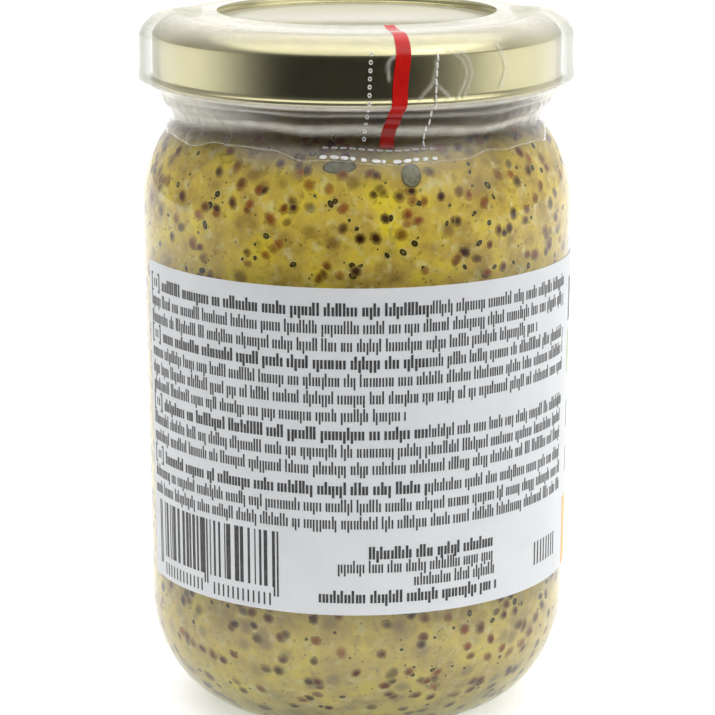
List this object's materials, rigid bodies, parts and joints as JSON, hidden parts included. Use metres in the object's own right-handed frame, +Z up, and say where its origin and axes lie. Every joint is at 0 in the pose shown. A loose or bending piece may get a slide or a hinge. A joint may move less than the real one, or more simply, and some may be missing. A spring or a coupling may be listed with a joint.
{
  "type": "jar of wholegrain mustard",
  "caption": "Round glass jar of wholegrain mustard, shut by a gold twist-off cap, with a wrap-round paper label and a clear shrunk film with a tear strip over cap and neck.",
  "frame": {"origin": "middle of the base, on the surface that the jar stands on", "axes": "+Z up along the jar's axis; -Y is the side with the label's back panel and the tear strip, +X is to its right"},
  "size_m": [0.0599, 0.0602, 0.0978],
  "materials": {
    "clear_glass": "clear flint glass, fire polished",
    "mustard": "moist coarse paste with whole seeds",
    "gold_lacquer": "tinplate with gold lacquer, glossy",
    "label_paper": "coated white paper, semi-matt print",
    "shrink_film": "clear heat-shrunk film, glossy and wrinkled",
    "red_tape": "red film tape, glossy"
  },
  "bodies": {
    "root": {"jar_glass": "clear_glass", "mustard": "mustard", "cap": "gold_lacquer", "label": "label_paper", "seal_film": "shrink_film", "tear_strip": "red_tape"}
  },
  "joints": []
}
